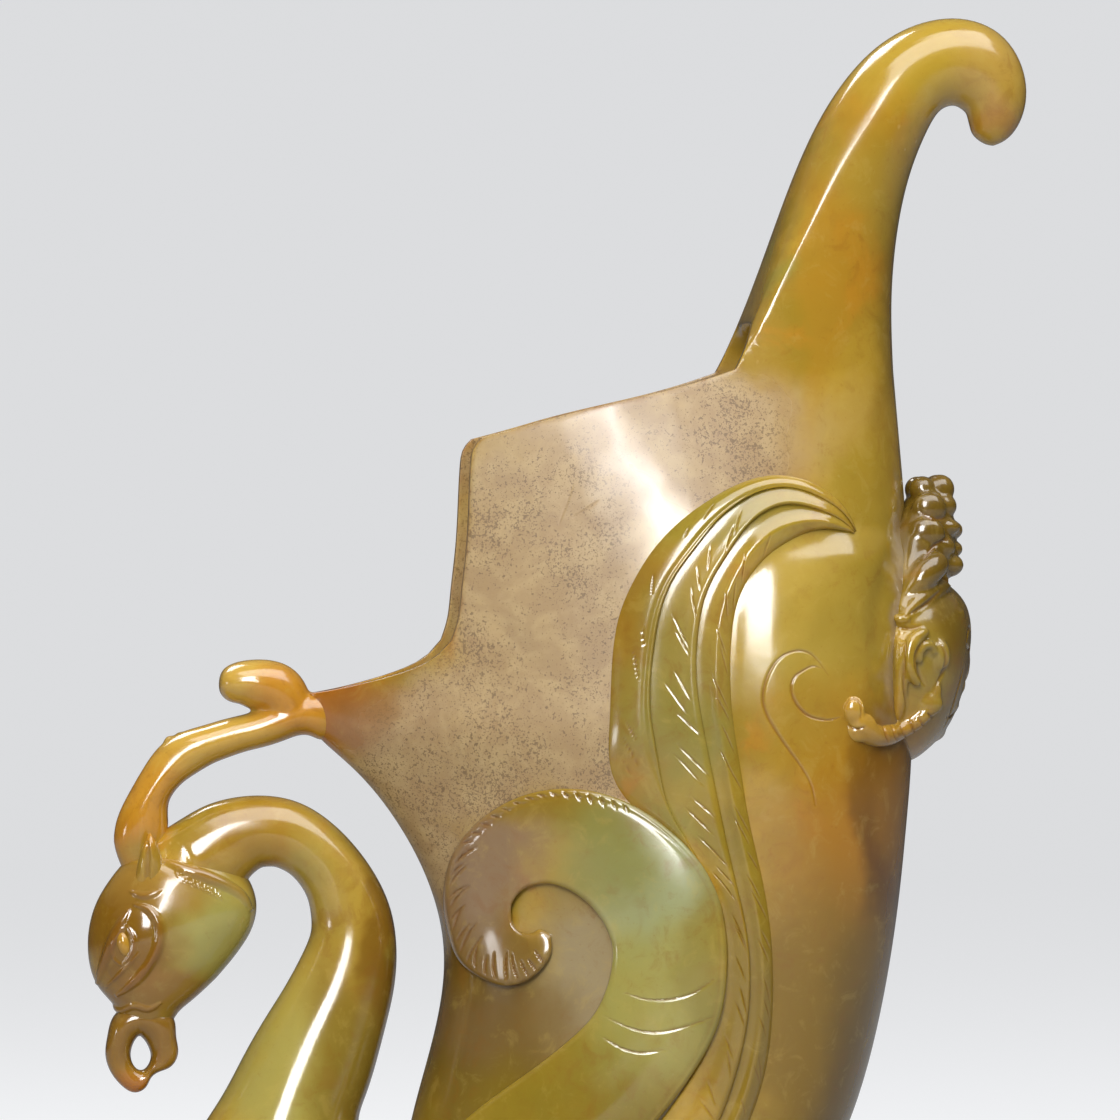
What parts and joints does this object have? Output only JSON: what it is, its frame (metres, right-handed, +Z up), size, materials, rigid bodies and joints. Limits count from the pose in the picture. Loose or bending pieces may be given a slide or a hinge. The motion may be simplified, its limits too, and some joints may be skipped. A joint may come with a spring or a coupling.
{
  "type": "jade pouring cup",
  "caption": "Tall carved stone cup with a stepped rim, pointed spout, hooked tail at the back and a long-necked bird whose crest arches to the spout.",
  "frame": {"origin": "middle of the foot's flat underside", "axes": "+Z up to the tail's hook, -X towards the bird's head and the spout, +X towards the cup's back; the two sides mirror across Y = 0"},
  "size_m": [0.1129, 0.0392, 0.1732],
  "materials": {
    "jade_speckled": "polished, calcified and speckled",
    "jade_olive": "polished olive yellow",
    "jade_amber": "polished amber with russet skin",
    "jade_pale": "polished pale green"
  },
  "bodies": {
    "root": {"cup_body": "jade_speckled", "foot": "jade_olive", "breast": "jade_olive", "neck": "jade_olive", "mask_crown": "jade_olive", "tail_hook": "jade_amber", "beak": "jade_amber", "crest_plume": "jade_amber", "crest_tip": "jade_amber", "head": "jade_pale", "mask_head": "jade_pale", "eye_left": "jade_amber", "ear_left": "jade_amber", "wing_scroll_left": "jade_pale", "wing_feather_1_left": "jade_olive", "wing_feather_2_left": "jade_olive", "wing_feather_3_left": "jade_olive", "mane_curl_1_left": "jade_amber", "mane_curl_2_left": "jade_amber", "mane_curl_3_left": "jade_amber", "mane_curl_4_left": "jade_amber", "mask_ear_left": "jade_pale", "mask_paw_left": "jade_amber", "eye_right": "jade_amber", "ear_right": "jade_amber", "wing_scroll_right": "jade_pale", "wing_feather_1_right": "jade_olive", "wing_feather_2_right": "jade_olive", "wing_feather_3_right": "jade_olive", "mane_curl_1_right": "jade_amber", "mane_curl_2_right": "jade_amber", "mane_curl_3_right": "jade_amber", "mane_curl_4_right": "jade_amber", "mask_ear_right": "jade_pale", "mask_paw_right": "jade_amber"}
  },
  "joints": []
}
